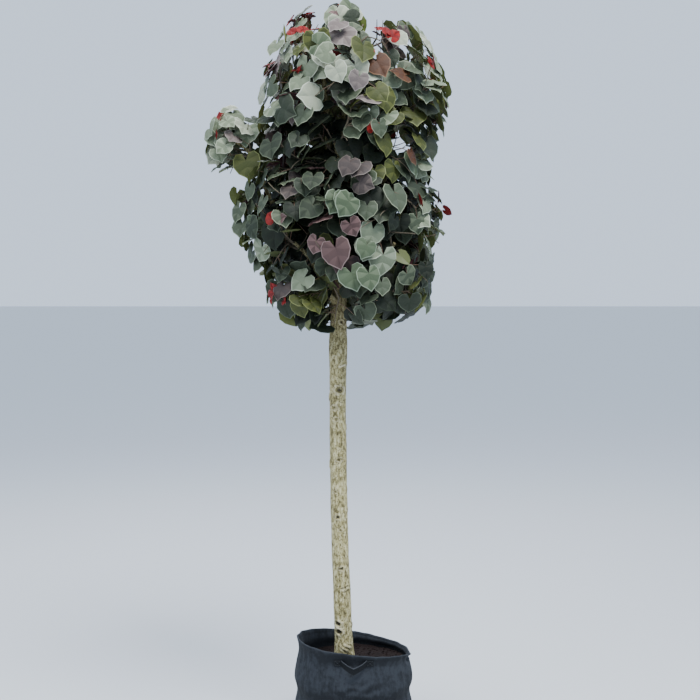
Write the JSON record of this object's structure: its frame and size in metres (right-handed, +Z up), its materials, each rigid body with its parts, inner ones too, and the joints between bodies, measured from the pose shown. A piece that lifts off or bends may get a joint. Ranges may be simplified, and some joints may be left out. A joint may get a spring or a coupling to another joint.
{
  "type": "standard sapling with root ball in a fabric grow bag",
  "caption": "Young standard tree: a bare straight stem under a full head of heart-shaped leaves, its root ball standing in a black fabric grow bag with handles.",
  "frame": {"origin": "centre of the grow bag's flat underside", "axes": "+Z up along the stem, front of the tree towards -Y, +X to the right seen from the front"},
  "size_m": [0.8293, 0.6943, 2.5195],
  "materials": {
    "bag_fabric": "needle-punched felt, matt",
    "webbing": "woven webbing, matt",
    "soil": "moist earth, rough",
    "bark": "smooth grey-tan bark with dark pores",
    "leaf": "leathery, slightly glossy"
  },
  "bodies": {
    "root": {"back_handle": "webbing", "front_handle": "webbing", "grow_bag": "bag_fabric", "lower_bough_1": "bark", "lower_bough_2": "bark", "lower_bough_3": "bark", "lower_bough_4": "bark", "lower_foliage_1": "leaf", "lower_foliage_2": "leaf", "lower_foliage_3": "leaf", "lower_foliage_4": "leaf", "middle_bough_1": "bark", "middle_bough_2": "bark", "middle_bough_3": "bark", "middle_bough_4": "bark", "middle_foliage_1": "leaf", "middle_foliage_2": "leaf", "middle_foliage_3": "leaf", "middle_foliage_4": "leaf", "root_ball": "soil", "side_bough": "bark", "side_foliage": "leaf", "top_bough": "bark", "top_foliage": "leaf", "trunk": "bark", "upper_bough_1": "bark", "upper_bough_2": "bark", "upper_bough_3": "bark", "upper_foliage_1": "leaf", "upper_foliage_2": "leaf", "upper_foliage_3": "leaf"}
  },
  "joints": []
}
